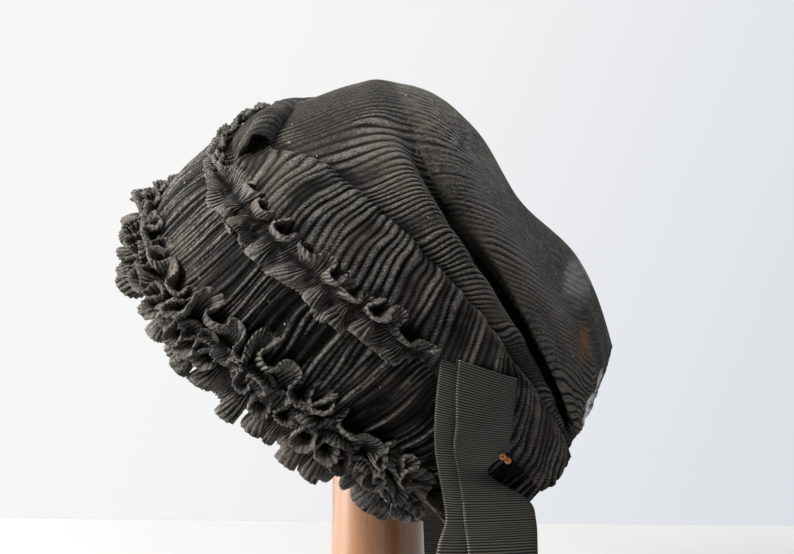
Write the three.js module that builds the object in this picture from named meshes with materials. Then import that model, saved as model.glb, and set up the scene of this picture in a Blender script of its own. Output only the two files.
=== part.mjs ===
// A mourning bonnet of crinkled silk crepe on a turned wooden hat stand.
// Millimetres, +Z up. The stand's foot is on Z = 0 and its axis is the Z axis.
// The wearer faces -Y, and +X is the wearer's left.
import * as THREE from "three";

// Driving dimensions
const BONNET_HEIGHT = 216; // from the floor to the bonnet's own origin, on the stand's axis
const GAP = 0.3; // clearance between neighbouring pieces
const BRIM_WALL = 1.4;
const BAND_WALL = 1.6;
const CROWN_WALL = 1.3;
const FRILL_WALL = 1.1;
const RIBBON_WALL = 1.0;

// The bonnet's cloth as arches from ear to ear, from the face edge back to the raw hem.
// depth: distance back over the cloth. tilt: roll of the arch to the wearer's left, in degrees.
// top (y, z), shoulder, side and ear (x, y, z): points of the left half before the roll.
const ARCHES = [
  {
    name: "rim", depth: 0, tilt: 20,
    top: [-113, 41], shoulder: [58, -92, 26], side: [83, -33, -19], ear: [76, 31, -72],
  },
  {
    name: "brim", depth: 33, tilt: 20,
    top: [-95, 67], shoulder: [64, -76, 49], side: [88, -8, 9], ear: [78, 60, -77],
  },
  {
    name: "seam", depth: 64, tilt: 20,
    top: [-74, 83], shoulder: [60, -51, 75], side: [86, 13, 29], ear: [68, 81, -68],
  },
  {
    name: "band", depth: 89, tilt: 19,
    top: [-54, 97], shoulder: [60, -29, 82], side: [83, 37, 36], ear: [64, 88, -58],
  },
  {
    name: "edge", depth: 114, tilt: 17,
    top: [-32, 104], shoulder: [60, 1, 80], side: [76, 56, 26], ear: [58, 92, -54],
  },
  {
    name: "ridge", depth: 132, tilt: 14,
    top: [-11, 111], shoulder: [57, 21, 81], side: [71, 65, 20], ear: [54, 95, -53],
  },
  {
    name: "groove", depth: 156, tilt: 12,
    top: [10, 112], shoulder: [49, 35, 66], side: [56, 75, -1], ear: [50, 97, -52],
  },
  {
    name: "lip", depth: 165, tilt: 11,
    top: [24, 107], shoulder: [50, 43, 66], side: [61, 80, 2], ear: [49, 99, -50],
  },
  {
    name: "back", depth: 182, tilt: 9,
    top: [45, 90], shoulder: [42, 57, 58], side: [56, 87, -2], ear: [47, 101, -48],
  },
  {
    name: "nape", depth: 217, tilt: 7,
    top: [72, 49], shoulder: [28, 83, 25], side: [43, 99, -10], ear: [45, 102, -46],
  },
  {
    name: "flare", depth: 240, tilt: 6,
    top: [98, 24], shoulder: [23, 101, 8], side: [37, 105, -19], ear: [44, 104, -44],
  },
  {
    name: "hem", depth: 272, tilt: 5,
    top: [117, -22], shoulder: [20, 113, -29], side: [34, 108, -37], ear: [43, 105, -41],
  },
];
const DEPTHS = ARCHES.map((arch) => arch.depth);
const depthOf = (name) => ARCHES.find((arch) => arch.name === name).depth;
const SEAM_DEPTH = depthOf("seam");
const HEM_DEPTH = depthOf("hem");

// Places along an arch run from -1 at the right ear over 0 at the top to 1 at the left ear.
const SHOULDER_PLACE = 0.286;
const SIDE_PLACE = 0.613;
const PLACES = [-1, -SIDE_PLACE, -SHOULDER_PLACE, 0, SHOULDER_PLACE, SIDE_PLACE, 1];

// Small steps over the cloth, for its directions
const PLACE_STEP = 0.004;
const DEPTH_STEP = 1;

// Gathers, ribs and frills
const BRIM_GATHERS = { count: 40, height: 1.4, rows: [0, 9, 22, 36, 50, SEAM_DEPTH - GAP] };
const BAND_RIBS = { count: 48, height: 0.9, points: 1.6, rows: [0, 0.25, 0.5, 0.78, 1] };
const BAND_LIFT = { full: 3.6, start: SEAM_DEPTH + GAP, end: 90 };
const BAND_EDGE = { side: 116, top: 99 };
const BAND_ROLL = { height: 6, middle: -0.06, reach: 0.2 }; // the tube that the band rolls into at the top
const CROWN_RIBS = { count: 24, height: 0.5, start: 120, full: 132, fade: 0.9 };
const CROWN_ROWS = [92, 107, 120, 130, 141, 150, 156, 162, 172, 188, 206, 226, 248, HEM_DEPTH];

// A frill's section, from its front edge to its back edge. forward and rise are measured from the sewn line
// along and off the cloth, sway and lift are how far its loops swing along and off the cloth.
const FRONT_FRILL = {
  depth: 3,
  reach: 0.97,
  loops: 30,
  section: [
    { forward: 14, rise: 8, sway: 2, lift: 5 },
    { forward: 6, rise: 5, sway: 1, lift: 2.5 },
    { forward: -1, rise: 1.6, sway: 0, lift: 0 },
    { forward: -5, rise: 6, sway: -2, lift: 1 },
    { forward: -9, rise: 11, sway: -4, lift: 2 },
  ],
};
const MID_FRILL = {
  depth: SEAM_DEPTH,
  reach: 0.66,
  loops: 24,
  section: [
    { forward: 8, rise: 8, sway: 2.5, lift: 3 },
    { forward: 0, rise: 1.4, sway: 0, lift: 0 },
    { forward: -6, rise: 10, sway: -3, lift: 2 },
  ],
};
const LOOP_SAMPLES = 4; // two along each crest and two along each hollow
// How far the loops crowd and spread, and how unevenly they swing, as shares of a loop in slow waves.
const LOOP_CROWDING = { share: 0.35, wave: 2.4 };
const LOOP_UNEVENNESS = { share: 0.25, wave: 1.7 };

// The near tie as seen from the side: left and right edges at each station, bonnet frame.
const RIBBON_LEFT = [
  { left: [92, 41, -12], right: [81, 68, -23] },
  { left: [90, 40, -27], right: [79, 67, -36] },
  { left: [88, 40, -42], right: [76, 66, -48] },
  { left: [83, 39, -55], right: [72, 63, -60] },
  { left: [78, 41, -68], right: [68, 55, -71] },
  { left: [77, 43, -82], right: [66, 74, -84] },
  { left: [76, 44, -93], right: [66, 78, -94] },
  { left: [76, 46, -109], right: [66, 79, -110] },
  { left: [76, 47, -138], right: [67, 80, -138] },
  { left: [76, 48, -165], right: [68, 81, -165] },
];
// The strand under it, which shows as a narrow strip along its front edge.
const RIBBON_UNDER = [
  { left: [91, 33, -12], right: [86, 50, -17] },
  { left: [88, 31, -27], right: [83, 50, -33] },
  { left: [84, 30, -42], right: [79, 50, -46] },
  { left: [79, 30, -56], right: [74, 49, -58] },
  { left: [76, 32, -70], right: [71, 48, -71] },
  { left: [74, 34, -82], right: [70, 52, -84] },
  { left: [74, 35, -93], right: [69, 54, -94] },
  { left: [74, 31, -109], right: [69, 55, -110] },
  { left: [74, 31, -138], right: [69, 56, -138] },
  { left: [74, 31, -163], right: [69, 57, -163] },
];
// The far tie lies over the far side of the brim and hangs from there.
const RIBBON_RIGHT = [
  { left: [-81, 26, 36], right: [-78.5, 62, 32] },
  { left: [-100, 24, 8], right: [-92, 61, 6] },
  { left: [-114, 20, -20], right: [-106, 57, -20] },
  { left: [-117, 18, -45], right: [-110, 55, -45] },
  { left: [-115, 18, -80], right: [-108, 55, -80] },
  { left: [-113, 18, -120], right: [-108, 55, -120] },
  { left: [-111, 19, -165], right: [-108, 56, -165] },
];
const RIBBON_STEPS = 2; // between two stations
const RIBBON_COLUMNS = 2;

const PIN = { head: [74.5, 63, -62], point: [72.5, 57, -68.5], headRadius: 2, shaftRadius: 0.6, sides: 8 };

// Stand: radii and heights above the floor
const BASE = { radius: 78, height: 20, bevel: 5 };
const POST = { bottomRadius: 26, neckRadius: 23, neckHeight: 106, topRadius: 21 };
const HEAD = { radius: 38, height: 34, rim: 6, top: 316 };
const TURNED_SIDES = 32;
const DOME_STEPS = 6;
const BEVEL_STEPS = 2;

const CREPE = { color: 0x2b2926, roughness: 0.9, metalness: 0 };
const FADED_CREPE = { color: 0x302c28, roughness: 0.9, metalness: 0 };
const GROSGRAIN = { color: 0x262624, roughness: 0.7, metalness: 0 };
const RUST = { color: 0xb0622e, roughness: 0.75, metalness: 0.2 };
const WOOD = { color: 0x7a5236, roughness: 0.4, metalness: 0 };

// A smooth curve through points at given knots.
// The slope at an inner knot is that of the parabola through its neighbours.
function curveThrough(knots, points, at) {
  const last = knots.length - 1;
  const step = (i) => points[i + 1].clone().sub(points[i]).divideScalar(knots[i + 1] - knots[i]);
  const innerSlope = (i) => {
    const before = knots[i] - knots[i - 1];
    const after = knots[i + 1] - knots[i];
    return step(i - 1).multiplyScalar(after).add(step(i).multiplyScalar(before)).divideScalar(before + after);
  };
  const slope = (i) => {
    if (i === 0) return step(0).multiplyScalar(1.5).addScaledVector(innerSlope(1), -0.5);
    if (i === last) return step(last - 1).multiplyScalar(1.5).addScaledVector(innerSlope(last - 1), -0.5);
    return innerSlope(i);
  };
  let i = 0;
  while (i < last - 1 && at > knots[i + 1]) i += 1;
  const width = knots[i + 1] - knots[i];
  const f = (at - knots[i]) / width;
  return points[i]
    .clone()
    .multiplyScalar(2 * f ** 3 - 3 * f ** 2 + 1)
    .addScaledVector(slope(i), (f ** 3 - 2 * f ** 2 + f) * width)
    .addScaledVector(points[i + 1], 3 * f ** 2 - 2 * f ** 3)
    .addScaledVector(slope(i + 1), (f ** 3 - f ** 2) * width);
}

const rise = (from, to, at) => THREE.MathUtils.smoothstep(at, from, to);
const bump = (middle, reach, at) => Math.exp(-(((at - middle) / reach) ** 2));

// A point of one arch, rolled to the wearer's left.
function archPoint(arch, place) {
  const left = [arch.shoulder, arch.side, arch.ear].map((p) => new THREE.Vector3(...p));
  const right = left.map((p) => new THREE.Vector3(-p.x, p.y, p.z)).reverse();
  const points = [...right, new THREE.Vector3(0, ...arch.top), ...left];
  const roll = THREE.MathUtils.degToRad(arch.tilt);
  return curveThrough(PLACES, points, place).applyAxisAngle(new THREE.Vector3(0, 1, 0), roll);
}

// A point of the bonnet's cloth, and the directions there: back over the cloth, and out of it.
function cloth(place, depth) {
  const point = (p, d) => curveThrough(DEPTHS, ARCHES.map((arch) => archPoint(arch, p)), d);
  const along = point(place + PLACE_STEP, depth).sub(point(place - PLACE_STEP, depth)).normalize();
  const back = point(place, depth + DEPTH_STEP).sub(point(place, depth - DEPTH_STEP)).normalize();
  const out = along.cross(back).normalize();
  return { point: point(place, depth), back, out };
}

// A closed solid between an outer and an inner grid of points.
function solidBetween(outer, inner) {
  const across = outer[0].length;
  const lastRow = outer.length - 1;
  const lastColumn = across - 1;
  const points = [...outer.flat(), ...inner.flat()];
  const inside = outer.length * across;
  const at = (i, j) => i * across + j;
  const faces = [];
  const quad = (a, b, c, d) => faces.push(a, b, c, a, c, d);
  for (let i = 0; i < lastRow; i += 1) {
    for (let j = 0; j < lastColumn; j += 1) {
      quad(at(i, j), at(i + 1, j), at(i + 1, j + 1), at(i, j + 1));
      quad(inside + at(i, j), inside + at(i, j + 1), inside + at(i + 1, j + 1), inside + at(i + 1, j));
    }
    quad(inside + at(i, 0), inside + at(i + 1, 0), at(i + 1, 0), at(i, 0));
    const edge = at(i, lastColumn);
    const nextEdge = at(i + 1, lastColumn);
    quad(edge, nextEdge, inside + nextEdge, inside + edge);
  }
  for (let j = 0; j < lastColumn; j += 1) {
    quad(at(0, j), at(0, j + 1), inside + at(0, j + 1), inside + at(0, j));
    quad(at(lastRow, j + 1), at(lastRow, j), inside + at(lastRow, j), inside + at(lastRow, j + 1));
  }
  const positions = new Float32Array(points.flatMap((p) => [p.x, p.y, p.z]));
  const geometry = new THREE.BufferGeometry();
  geometry.setAttribute("position", new THREE.BufferAttribute(positions, 3));
  geometry.setIndex(faces);
  geometry.computeVertexNormals();
  return geometry;
}

// A wall of the bonnet's cloth: columns from ear to ear, rows of depth, and a height off the plain cloth.
function clothWall(columns, wall, rowsAt, heightAt) {
  const outer = [];
  const inner = [];
  for (let i = 0; i <= columns; i += 1) {
    const place = (2 * i) / columns - 1;
    const ridge = i % 2 ? 1 : -1;
    const spots = rowsAt(place, ridge).map((depth) => ({ depth, ...cloth(place, depth) }));
    const lifted = spots.map((s) => s.point.clone().addScaledVector(s.out, heightAt(place, s.depth, ridge)));
    outer.push(lifted);
    inner.push(lifted.map((p, j) => p.clone().addScaledVector(spots[j].out, -wall)));
  }
  return solidBetween(outer, inner);
}

// A sheet given by a grid of points, thickened to both sides.
function thickened(grid, wall) {
  const clamp = (i, last) => Math.max(0, Math.min(last, i));
  const normalAt = (i, j) => {
    const lastRow = grid.length - 1;
    const lastColumn = grid[0].length - 1;
    const along = grid[clamp(i + 1, lastRow)][j].clone().sub(grid[clamp(i - 1, lastRow)][j]);
    const across = grid[i][clamp(j + 1, lastColumn)].clone().sub(grid[i][clamp(j - 1, lastColumn)]);
    return along.cross(across).normalize();
  };
  const layer = (offset) =>
    grid.map((row, i) => row.map((p, j) => p.clone().addScaledVector(normalAt(i, j), offset)));
  return solidBetween(layer(wall / 2), layer(-wall / 2));
}

function brimGeometry() {
  const { count, height, rows } = BRIM_GATHERS;
  const last = rows[rows.length - 1];
  const gather = (place, depth, ridge) =>
    ridge * height * rise(0, rows[1], depth) * (1 - rise(rows[4], last, depth));
  return clothWall(2 * count, BRIM_WALL, () => rows, gather);
}

function bandGeometry() {
  const atTop = (place) => bump(BAND_ROLL.middle, BAND_ROLL.reach, place);
  const edge = (place) => THREE.MathUtils.lerp(BAND_EDGE.side, BAND_EDGE.top, atTop(place));
  const share = (place, depth) => (depth - BAND_LIFT.start) / (edge(place) - BAND_LIFT.start);
  const rowsAt = (place, ridge) =>
    BAND_RIBS.rows.map((row) => {
      const point = row === 1 ? ridge * BAND_RIBS.points : 0;
      return THREE.MathUtils.lerp(BAND_LIFT.start, edge(place), row) + point;
    });
  const heightAt = (place, depth, ridge) => {
    const lift = BAND_LIFT.full * rise(BAND_LIFT.start, BAND_LIFT.end, depth);
    const rib = ridge * BAND_RIBS.height * rise(0, 0.3, share(place, depth));
    const roll = BAND_ROLL.height * atTop(place) * Math.sin(Math.PI * Math.min(1, share(place, depth)));
    return lift + rib + Math.max(0, roll);
  };
  return clothWall(2 * BAND_RIBS.count, BAND_WALL, rowsAt, heightAt);
}

function crownGeometry() {
  const { count, height, start, full, fade } = CROWN_RIBS;
  const rib = (place, depth, ridge) =>
    ridge * height * rise(start, full, depth) * (1 - rise(fade, 1, Math.abs(place)));
  return clothWall(2 * count, CROWN_WALL, () => CROWN_ROWS, rib);
}

// A gathered strip sewn to the cloth along one depth, with loops that crowd and spread.
function frillGeometry({ depth, reach, loops, section }) {
  const columns = loops * LOOP_SAMPLES;
  const grid = [];
  for (let i = 0; i <= columns; i += 1) {
    const loop = i / LOOP_SAMPLES;
    const awayFromEnds = Math.min(1, loop, loops - loop);
    const crowding = LOOP_CROWDING.share * Math.sin(LOOP_CROWDING.wave * loop) * awayFromEnds;
    const place = reach * ((2 * (loop + crowding)) / loops - 1);
    const unevenness = 1 + LOOP_UNEVENNESS.share * Math.sin(LOOP_UNEVENNESS.wave * loop);
    const swing = unevenness * Math.sin(2 * Math.PI * loop + Math.PI / 4);
    const spot = cloth(place, depth);
    grid.push(
      section.map((row) =>
        spot.point
          .clone()
          .addScaledVector(spot.back, -row.forward - row.sway * swing)
          .addScaledVector(spot.out, row.rise + row.lift * swing),
      ),
    );
  }
  return thickened(grid, FRILL_WALL);
}

function ribbonGeometry(stations) {
  const knots = stations.map((_, i) => i);
  const edge = (side) => stations.map((station) => new THREE.Vector3(...station[side]));
  const grid = [];
  for (let i = 0; i <= (stations.length - 1) * RIBBON_STEPS; i += 1) {
    const at = i / RIBBON_STEPS;
    const left = curveThrough(knots, edge("left"), at);
    const right = curveThrough(knots, edge("right"), at);
    const column = (_, j) => left.clone().lerp(right, j / RIBBON_COLUMNS);
    grid.push(Array.from({ length: RIBBON_COLUMNS + 1 }, column));
  }
  return thickened(grid, RIBBON_WALL);
}

// A round headed pin, turned about its own axis and then laid along its shaft.
function pinGeometry() {
  const head = new THREE.Vector3(...PIN.head);
  const point = new THREE.Vector3(...PIN.point);
  const length = head.distanceTo(point);
  const profile = [
    new THREE.Vector2(0, -length),
    new THREE.Vector2(PIN.shaftRadius, -length + PIN.shaftRadius),
    new THREE.Vector2(PIN.shaftRadius, -PIN.headRadius),
    new THREE.Vector2(PIN.headRadius, 0),
    new THREE.Vector2(PIN.headRadius / 2, PIN.headRadius),
    new THREE.Vector2(0, PIN.headRadius),
  ];
  const axis = head.clone().sub(point).normalize();
  const turn = new THREE.Quaternion().setFromUnitVectors(new THREE.Vector3(0, 1, 0), axis);
  return new THREE.LatheGeometry(profile, PIN.sides).applyQuaternion(turn).translate(...PIN.head);
}

// Pairs of radius and height along a quarter of an ellipse, from its widest height up to its top.
function quarterRound(radius, height, across, up, steps) {
  return Array.from({ length: steps + 1 }, (_, i) => {
    const angle = (i / steps) * (Math.PI / 2);
    return [radius + across * Math.cos(angle), height + up * Math.sin(angle)];
  });
}

// A turned solid from pairs of radius and height, starting and ending on the axis.
function turned(pairs) {
  const profile = pairs.map(([radius, height]) => new THREE.Vector2(radius, height));
  return new THREE.LatheGeometry(profile, TURNED_SIDES).rotateX(Math.PI / 2);
}

function baseGeometry() {
  const { radius, height, bevel } = BASE;
  const shoulder = quarterRound(radius - bevel, height - bevel, bevel, bevel, BEVEL_STEPS);
  return turned([[0, 0], [radius, 0], ...shoulder, [0, height]]);
}

function postGeometry() {
  const bottom = BASE.height + GAP;
  const top = HEAD.top - HEAD.height - HEAD.rim - GAP;
  return turned([
    [0, bottom],
    [POST.bottomRadius, bottom],
    [POST.neckRadius, POST.neckHeight],
    [POST.topRadius, top],
    [0, top],
  ]);
}

function headGeometry() {
  const shoulder = HEAD.top - HEAD.height;
  const bottom = shoulder - HEAD.rim;
  const dome = quarterRound(0, shoulder, HEAD.radius, HEAD.height, DOME_STEPS);
  return turned([[0, bottom], [HEAD.radius - HEAD.rim, bottom], ...dome]);
}

function piece(name, geometry, look) {
  const mesh = new THREE.Mesh(geometry, new THREE.MeshStandardMaterial(look));
  mesh.name = name;
  return mesh;
}

const bonnet = new THREE.Group();
bonnet.position.z = BONNET_HEIGHT;
bonnet.add(
  piece("brim", brimGeometry(), CREPE),
  piece("front_frill", frillGeometry(FRONT_FRILL), CREPE),
  piece("mid_frill", frillGeometry(MID_FRILL), CREPE),
  piece("band", bandGeometry(), CREPE),
  piece("crown", crownGeometry(), FADED_CREPE),
  piece("ribbon_left", ribbonGeometry(RIBBON_LEFT), GROSGRAIN),
  piece("ribbon_left_under", ribbonGeometry(RIBBON_UNDER), GROSGRAIN),
  piece("ribbon_right", ribbonGeometry(RIBBON_RIGHT), GROSGRAIN),
  piece("ribbon_pin", pinGeometry(), RUST),
);

const stand = new THREE.Group();
stand.add(
  piece("stand_post", postGeometry(), WOOD),
  piece("stand_head", headGeometry(), WOOD),
  piece("stand_base", baseGeometry(), WOOD),
);

const part = new THREE.Group();
part.add(bonnet, stand);

export default part;
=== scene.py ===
# %% [markdown]
# # A mourning bonnet of crinkled crepe on a turned stand
#
# The object is a soft black bonnet: a gathered brim with a double frill round the face, a crumpled
# frill on the seam behind it, a ribbed band that is turned back over the crown, a puffed crown with
# a loose flap, and two ribbon ties. It sits on a plain wooden post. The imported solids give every
# piece its place. Here each cloth piece is made again as a fine sheet, with its real gathers and ribs.

# %% The frame
import math

import bpy
import numpy as np
from mathutils import Matrix, Vector


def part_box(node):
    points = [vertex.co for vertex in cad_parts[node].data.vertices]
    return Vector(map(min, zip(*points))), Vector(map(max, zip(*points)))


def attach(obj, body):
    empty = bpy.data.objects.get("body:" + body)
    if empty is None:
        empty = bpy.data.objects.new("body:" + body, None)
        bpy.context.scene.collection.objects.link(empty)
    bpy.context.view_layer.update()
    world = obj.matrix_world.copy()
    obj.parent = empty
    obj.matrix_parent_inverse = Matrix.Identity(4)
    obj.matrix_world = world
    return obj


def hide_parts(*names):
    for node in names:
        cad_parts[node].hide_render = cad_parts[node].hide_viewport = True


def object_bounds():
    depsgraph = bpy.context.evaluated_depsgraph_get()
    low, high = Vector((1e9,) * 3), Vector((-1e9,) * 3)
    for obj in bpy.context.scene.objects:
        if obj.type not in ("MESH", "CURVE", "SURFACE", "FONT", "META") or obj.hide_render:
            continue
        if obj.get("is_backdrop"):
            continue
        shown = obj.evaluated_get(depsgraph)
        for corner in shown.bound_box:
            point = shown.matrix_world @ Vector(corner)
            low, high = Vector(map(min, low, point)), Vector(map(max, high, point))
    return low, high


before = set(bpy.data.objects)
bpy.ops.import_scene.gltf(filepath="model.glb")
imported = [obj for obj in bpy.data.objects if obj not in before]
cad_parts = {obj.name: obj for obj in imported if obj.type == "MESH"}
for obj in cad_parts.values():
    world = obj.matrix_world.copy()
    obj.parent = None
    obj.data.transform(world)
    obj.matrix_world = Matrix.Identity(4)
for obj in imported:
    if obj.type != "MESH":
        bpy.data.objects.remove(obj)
cad_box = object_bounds()
bpy.ops.object.select_all(action="DESELECT")
MM = 0.001
print("solids:", ", ".join(sorted(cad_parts)))

# %% [markdown]
# ## Camera
#
# The picture looks at the wearer's left side, nine degrees from above. A long lens keeps the near
# and the far side almost the same size, so a normal lens close by would not give the same outline.

# %% Camera
BONNET_ORIGIN = Vector((0, 0, 0.216))
FRAME_WIDTH_PX = 794
FOCAL_PX = 2000
SENSOR_MM = 36
VIEW_AZIMUTH = math.radians(92)
VIEW_ELEVATION = math.radians(9)
VIEW_DISTANCE = 1.0
AIM_RIGHT = 0.00975
AIM_UP = 0.0115

towards_camera = Vector((
    math.sin(VIEW_AZIMUTH) * math.cos(VIEW_ELEVATION),
    -math.cos(VIEW_AZIMUTH) * math.cos(VIEW_ELEVATION),
    math.sin(VIEW_ELEVATION),
))
picture_right = Vector((0, 0, 1)).cross(towards_camera).normalized()
picture_up = towards_camera.cross(picture_right)
bpy.ops.object.camera_add()
camera = bpy.context.object
camera.name = "camera"
camera.data.sensor_width = SENSOR_MM
camera.data.lens = SENSOR_MM * FOCAL_PX / FRAME_WIDTH_PX
camera.location = (
    BONNET_ORIGIN + towards_camera * VIEW_DISTANCE + picture_right * AIM_RIGHT + picture_up * AIM_UP
)
camera.rotation_euler = (-towards_camera).to_track_quat("-Z", "Y").to_euler()
bpy.context.scene.camera = camera
print("camera at", [round(c, 3) for c in camera.location], "lens", round(camera.data.lens, 1))

# %% [markdown]
# ## Shader sums
#
# A finish is easier to read as a sum than as a web of wires. One small class wraps a socket: plus,
# minus and times on it add Math nodes, and its `node` method adds any other node.


# %% Shader sums
class Wire:
    """A socket of a shader tree that can be used in sums."""

    def __init__(self, tree, socket=None):
        self.tree = tree
        self.socket = socket

    def node(self, kind, settings=None, sockets=None, output=0):
        """Adds a node: its settings first, then the values or links of its sockets."""
        made = self.tree.nodes.new(kind)
        for key, value in (settings or {}).items():
            setattr(made, key, value)
        for key, value in (sockets or {}).items():
            if isinstance(value, Wire):
                self.tree.links.new(value.socket, made.inputs[key])
            else:
                made.inputs[key].default_value = value
        return Wire(self.tree, made.outputs[output] if made.outputs else None)

    def sum_with(self, operation, first, second):
        return self.node("ShaderNodeMath", {"operation": operation}, {0: first, 1: second})

    def __add__(self, other):
        return self.sum_with("ADD", self, other)

    __radd__ = __add__

    def __sub__(self, other):
        return self.sum_with("SUBTRACT", self, other)

    def __rsub__(self, other):
        return self.sum_with("SUBTRACT", other, self)

    def __mul__(self, other):
        return self.sum_with("MULTIPLY", self, other)

    __rmul__ = __mul__

    def between(self, low, high):
        """0 below low, 1 above high, smooth between them."""
        return self.node(
            "ShaderNodeMapRange",
            {"interpolation_type": "SMOOTHSTEP"},
            {"Value": self, "From Min": low, "From Max": high},
        )

    def blend(self, first, second):
        """A colour from first to second, with this value as the share."""
        return self.node(
            "ShaderNodeMix",
            {"data_type": "RGBA"},
            {"Factor": self, 6: first, 7: second},
            output=2,
        )


def new_finish(name):
    """An empty material, the start of its sums, and a function that closes it with a shader."""
    finish = bpy.data.materials.new(name)
    finish.use_nodes = True
    tree = finish.node_tree
    tree.nodes.clear()
    start = Wire(tree)

    def close(**sockets):
        named = {key.replace("_", " "): value for key, value in sockets.items()}
        shader = start.node("ShaderNodeBsdfPrincipled", None, named)
        start.node("ShaderNodeOutputMaterial", None, {"Surface": shader})
        return finish

    return start, close


def noise_of(start, where, scale, detail=2.0, roughness=0.5):
    """Soft noise from 0 to 1, scale times a metre."""
    sockets = {"Vector": where, "Scale": scale, "Detail": detail, "Roughness": roughness}
    return start.node("ShaderNodeTexNoise", None, sockets)


print("shader sums ready")

# %% [markdown]
# ## Crepe
#
# Mourning crepe is a dull silk gauze that is crimped with heat, so it has a grainy crinkle and no
# shine. Each sheet carries a `crest` value from 0 in a hollow to 1 on a crest. The finish mixes its
# colour by that value: the crests are grey and brown, partly as rubbed wear of the old cloth and partly
# as painted highlight, and the hollows are black, darkened further as painted shade. A fine noise gives
# the crinkle. An image of cloth would be quicker, but it would blur up close.

# %% Crepe
LINT_COLOUR = (0.45, 0.43, 0.38, 1)
SHEEN_COLOUR = (0.75, 0.72, 0.66, 1)
STAIN_COLOUR = (0.36, 0.16, 0.06, 1)
NETTING_AND_BACKLIGHT_GREY = (0.4, 0.4, 0.4, 1)
CRINKLE_DEPTH = 0.0009


def crepe_finish(name, hollow, crest_colour, worn, threads, sheer_streaks=False):
    """threads: how many fine threads there are along and across the sheet's own map."""
    start, close = new_finish(name)
    where = start.node("ShaderNodeTexCoord", output="Object")
    sheet_map = start.node("ShaderNodeTexCoord", output="UV")
    combed = start.node("ShaderNodeMapping", None, {"Vector": sheet_map, "Scale": (*threads, 1)})
    crest = start.node("ShaderNodeAttribute", {"attribute_name": "crest"}, output="Fac")
    crinkle = noise_of(start, where, 1000, 3.0, 0.75).between(0.36, 0.64)
    grain = noise_of(start, where, 2600, 1.0).between(0.3, 0.7)
    thread = noise_of(start, combed, 1, 2.0, 0.6).between(0.36, 0.64)
    patches = noise_of(start, where, 28, 3.0)
    lint = noise_of(start, where, 300, 1.0).between(0.765, 0.8) * 0.7
    # Painted highlight and wear: crests are lighter, and hollows darker as painted shade.
    lit = crest.between(0.3, 1.0) * (0.1 + 0.75 * crinkle + 0.55 * thread)
    cloth_colour = lit.blend(hollow, crest_colour)
    faded = patches.between(0.45, 0.7) * crest * 0.7
    colour = lint.blend(faded.blend(cloth_colour, worn), LINT_COLOUR)
    rough_height = crinkle * 0.5 + grain * 0.3 + thread * 0.5
    bump = start.node(
        "ShaderNodeBump", None, {"Strength": 1.0, "Distance": CRINKLE_DEPTH, "Height": rough_height}
    )
    sockets = {
        "Base_Color": colour,
        "Roughness": 0.6 + 0.2 * grain,
        "Normal": bump,
        "Specular_IOR_Level": 0.12,
        "Sheen_Weight": 0.035,
        "Sheen_Roughness": 0.4,
        "Sheen_Tint": SHEEN_COLOUR,
    }
    if sheer_streaks:
        sheer = start.node("ShaderNodeAttribute", {"attribute_name": "sheer"}, output="Fac")
        stain = start.node("ShaderNodeAttribute", {"attribute_name": "stain"}, output="Fac")
        rust = stain * (0.3 + 0.9 * crinkle)
        stained = rust.blend(colour, STAIN_COLOUR)
        netting = noise_of(start, where, 700, 2.0).between(0.35, 0.75)
        # The sheer parts are painted grey as light shining through the cloth; the alpha makes them
        # see-through.
        sockets["Base_Color"] = (sheer * (0.3 + 0.7 * netting)).blend(stained, NETTING_AND_BACKLIGHT_GREY)
        sockets["Alpha"] = 1.0 - sheer * (0.6 + 0.4 * netting)
    return close(**sockets)


# Hollow colours: black, darkened as painted shade. Crest colours: rubbed wear and painted highlight.
BLACK = (0.0012, 0.0012, 0.0012, 1)
GREY = (0.25, 0.238, 0.216, 1)
BROWN_GREY = (0.2, 0.175, 0.143, 1)
FRILL_BROWN = (0.21, 0.175, 0.15, 1)
FADED_BLACK = (0.003, 0.0027, 0.0024, 1)
FADED_AND_HIGHLIGHT_GREY = (0.24, 0.224, 0.196, 1)
FADED_BROWN = (0.22, 0.196, 0.163, 1)
CREPE = crepe_finish("crepe", BLACK, GREY, BROWN_GREY, threads=(560, 30))
FRILL_CREPE = crepe_finish("frill_crepe", BLACK, GREY, FRILL_BROWN, threads=(1500, 12))
FADED_CREPE = crepe_finish(
    "faded_crepe", FADED_BLACK, FADED_AND_HIGHLIGHT_GREY, FADED_BROWN, threads=(520, 34), sheer_streaks=True
)
print("finishes:", CREPE.name, FRILL_CREPE.name, FADED_CREPE.name)

# %% [markdown]
# ## The bonnet's cloth
#
# All cloth pieces lie on one smooth form, the same as in the solids: arches from ear to ear, one
# behind the other from the face edge to the raw hem. A point of the cloth is given by its place along
# the arch, from -1 at the right ear over 0 at the top to 1 at the left ear, and by its depth over the
# cloth in millimetres. Each piece could be sculpted by hand instead, but then neighbours would not fit
# each other. Numbers for a whole sheet are worked out at once with numpy.

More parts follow.
